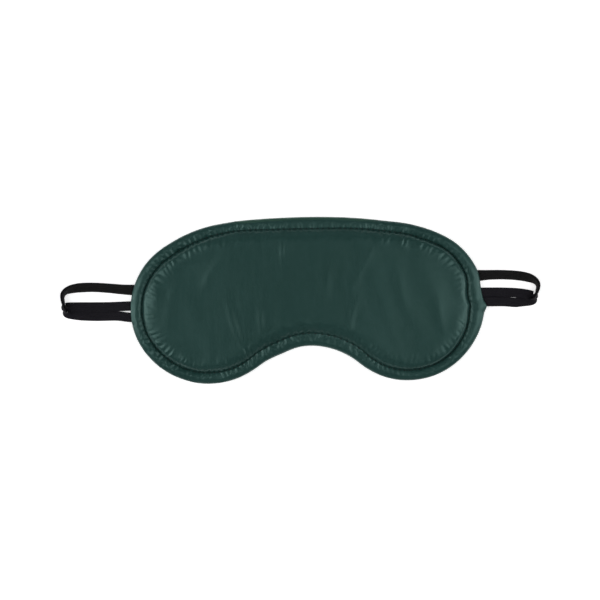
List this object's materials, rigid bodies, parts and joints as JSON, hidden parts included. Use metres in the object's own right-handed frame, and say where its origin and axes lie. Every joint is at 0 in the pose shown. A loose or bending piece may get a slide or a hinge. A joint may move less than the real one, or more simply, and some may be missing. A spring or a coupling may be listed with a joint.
{
  "type": "sleep mask",
  "caption": "Padded green satin sleep mask with a topstitched rim and thin black elastic straps folded behind it.",
  "frame": {"origin": "middle of the mask's outline, on the surface that its back lies on", "axes": "+X across the mask towards the wearer's left eye side as seen from the front, +Y towards the brow, +Z out of the front cover"},
  "size_m": [0.2687, 0.0926, 0.0083],
  "materials": {
    "satin": "dark green polyester satin with a soft sheen",
    "foam": "open-cell polyurethane foam sheet",
    "lining": "matt black plain-weave lining",
    "thread": "dark green spun polyester sewing thread",
    "elastic": "matt black braided elastic with lengthwise ribs"
  },
  "bodies": {
    "mask": {"front_cover": "satin", "back_cover": "satin", "foam_pad": "foam", "blackout_lining": "lining", "needle_topstitch": "thread", "bobbin_topstitch": "thread", "edge_seam_thread": "thread", "left_strap_tacks": "thread", "right_strap_tacks": "thread", "upper_strap_left_end": "elastic", "upper_strap_back_run": "elastic", "upper_strap_right_end": "elastic", "lower_strap_left_end": "elastic", "lower_strap_back_run": "elastic", "lower_strap_right_end": "elastic"},
    "left_loops": {"upper_strap_left_loop": "elastic", "lower_strap_left_loop": "elastic"},
    "right_loops": {"upper_strap_right_loop": "elastic", "lower_strap_right_loop": "elastic"}
  },
  "joints": [
    {"name": "left_loops_lift", "type": "hinge", "parent": "mask", "child": "left_loops", "pos_m": [-0.102, 0, 0.00365], "axis": [0, 1, 0], "range_deg": [0, 90]},
    {"name": "right_loops_lift", "type": "hinge", "parent": "mask", "child": "right_loops", "pos_m": [0.102, 0, 0.00365], "axis": [0, -1, 0], "range_deg": [0, 90]}
  ]
}
